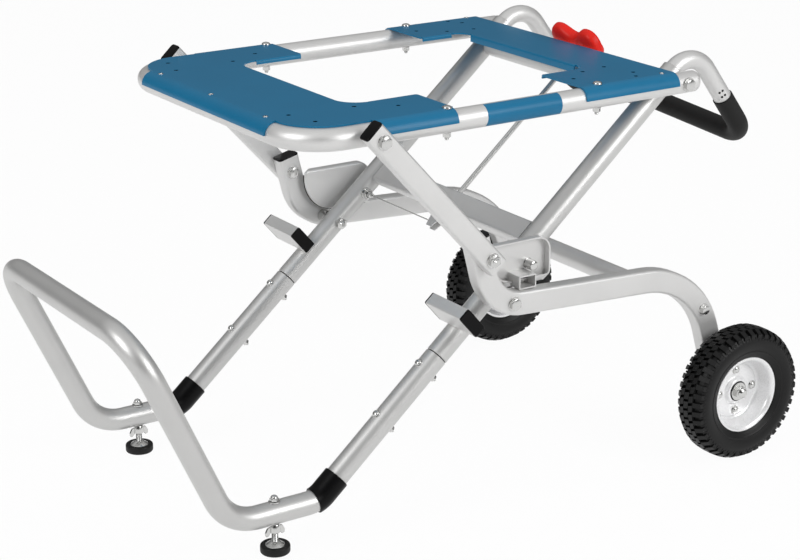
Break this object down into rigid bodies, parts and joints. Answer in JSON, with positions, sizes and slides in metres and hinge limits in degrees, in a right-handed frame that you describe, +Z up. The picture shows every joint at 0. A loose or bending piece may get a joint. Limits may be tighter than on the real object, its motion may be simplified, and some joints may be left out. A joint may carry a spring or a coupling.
{
  "type": "miter saw stand",
  "caption": "Folding wheeled stand for a bench saw: tubular base with leveling feet, open top frame with saw plates, cranked wheel arms, side links and a push handle.",
  "frame": {"origin": "on the floor, under the middle of the bounding box", "axes": "+X along the stand towards the handle and wheels, +Y across it, +Z up"},
  "size_m": [1.1009, 0.68, 0.6308],
  "materials": {
    "silver": "satin silver coat",
    "steel": "bright zinc",
    "blue": "fine textured coat",
    "black": "moulded",
    "grip": "matt foam",
    "rubber": "matt",
    "tyre": "matt, treaded",
    "rim": "silver coat",
    "red": "gloss"
  },
  "bodies": {
    "base_frame": {"base_loop": "silver", "handle_tube": "silver", "handle_grip": "grip", "cross_member": "silver", "upper_cross_tube": "silver", "release_block": "silver", "leg_collar_left": "black", "leg_collar_right": "black", "lower_leg_left": "silver", "lower_leg_right": "silver", "upper_leg_left": "silver", "upper_leg_right": "silver", "rest_block_left": "silver", "rest_block_right": "silver", "rest_insert_left": "black", "rest_insert_right": "black", "arm_pivot_bolt_left": "steel", "arm_pivot_bolt_right": "steel"},
    "top_frame": {"top_tube": "silver", "front_plate": "blue", "rear_plate": "blue", "rail_end_plug_left": "silver", "rail_end_plug_right": "silver", "table_pivot_bolt_left": "steel", "table_pivot_bolt_right": "steel", "link_top_bolt_left": "steel", "link_top_bolt_right": "steel"},
    "wheel_arms": {"arm_cross_tube": "silver", "wheel_arm_left": "silver", "wheel_arm_right": "silver", "arm_cap_left": "black", "arm_cap_right": "black", "arm_pan_left": "silver", "arm_pan_right": "silver", "lock_keeper_left": "steel", "lock_keeper_right": "steel", "axle_left": "steel", "axle_right": "steel"},
    "release_pull": {"pull_handle": "red", "release_rod": "steel"},
    "link_left": {"link_left": "silver", "link_cap_left": "black", "link_pin_left": "steel"},
    "wheel_left": {"tyre_left": "tyre", "rim_left": "rim", "wheel_bearing_left": "steel"},
    "foot_left": {"foot_pad_left": "rubber", "foot_stud_left": "steel"},
    "wing_nut_left": {"wing_nut_left": "steel"},
    "lock_pin_left": {"lock_pin_left": "steel"},
    "link_right": {"link_right": "silver", "link_cap_right": "black", "link_pin_right": "steel"},
    "wheel_right": {"tyre_right": "tyre", "rim_right": "rim", "wheel_bearing_right": "steel"},
    "foot_right": {"foot_pad_right": "rubber", "foot_stud_right": "steel"},
    "wing_nut_right": {"wing_nut_right": "steel"},
    "lock_pin_right": {"lock_pin_right": "steel"}
  },
  "joints": [
    {"name": "arm_fold", "type": "hinge", "parent": "base_frame", "child": "wheel_arms", "pos_m": [0.03809, 0, 0.31667], "axis": [0, 1, 0], "range_deg": [0, 85]},
    {"name": "table_fold", "type": "hinge", "parent": "base_frame", "child": "top_frame", "pos_m": [0.35891, 0, 0.59359], "axis": [0, -1, 0], "range_deg": [0, 23.36]},
    {"name": "link_swing_left", "type": "hinge", "parent": "top_frame", "child": "link_left", "pos_m": [-0.19669, -0.2755, 0.59359], "axis": [0, -1, 0], "range_deg": [0, 25.21]},
    {"name": "link_swing_right", "type": "hinge", "parent": "top_frame", "child": "link_right", "pos_m": [-0.19669, 0.2755, 0.59359], "axis": [0, -1, 0], "range_deg": [0, 25.21]},
    {"name": "wheel_spin_left", "type": "hinge", "parent": "wheel_arms", "child": "wheel_left", "pos_m": [0.4452, -0.313, 0.106], "axis": [0, 1, 0], "continuous": true},
    {"name": "wheel_spin_right", "type": "hinge", "parent": "wheel_arms", "child": "wheel_right", "pos_m": [0.4452, 0.313, 0.106], "axis": [0, 1, 0], "continuous": true},
    {"name": "release_slide", "type": "slide", "parent": "base_frame", "child": "release_pull", "axis": [0.757, 0, 0.6534], "range_m": [0, 0.013]},
    {"name": "lock_pin_slide_left", "type": "slide", "parent": "base_frame", "child": "lock_pin_left", "axis": [0, 1, 0], "range_m": [0, 0.013]},
    {"name": "lock_pin_slide_right", "type": "slide", "parent": "base_frame", "child": "lock_pin_right", "axis": [0, -1, 0], "range_m": [0, 0.013]},
    {"name": "foot_adjust_left", "type": "slide", "parent": "base_frame", "child": "foot_left", "axis": [0, 0, -1], "range_m": [0, 0.012]},
    {"name": "wing_nut_turn_left", "type": "hinge", "parent": "foot_left", "child": "wing_nut_left", "pos_m": [-0.3274, -0.213, 0.0434], "axis": [0, 0, 1], "continuous": true},
    {"name": "foot_adjust_right", "type": "slide", "parent": "base_frame", "child": "foot_right", "axis": [0, 0, -1], "range_m": [0, 0.012]},
    {"name": "wing_nut_turn_right", "type": "hinge", "parent": "foot_right", "child": "wing_nut_right", "pos_m": [-0.3274, 0.213, 0.0434], "axis": [0, 0, 1], "continuous": true}
  ],
  "couplings": [
    {"joint": "table_fold", "follows": "arm_fold", "ratio": 0.27365},
    {"joint": "link_swing_left", "follows": "arm_fold", "ratio": 0.2954},
    {"joint": "link_swing_right", "follows": "arm_fold", "ratio": 0.2954},
    {"joint": "lock_pin_slide_left", "follows": "release_slide", "ratio": 1},
    {"joint": "lock_pin_slide_right", "follows": "release_slide", "ratio": 1}
  ]
}
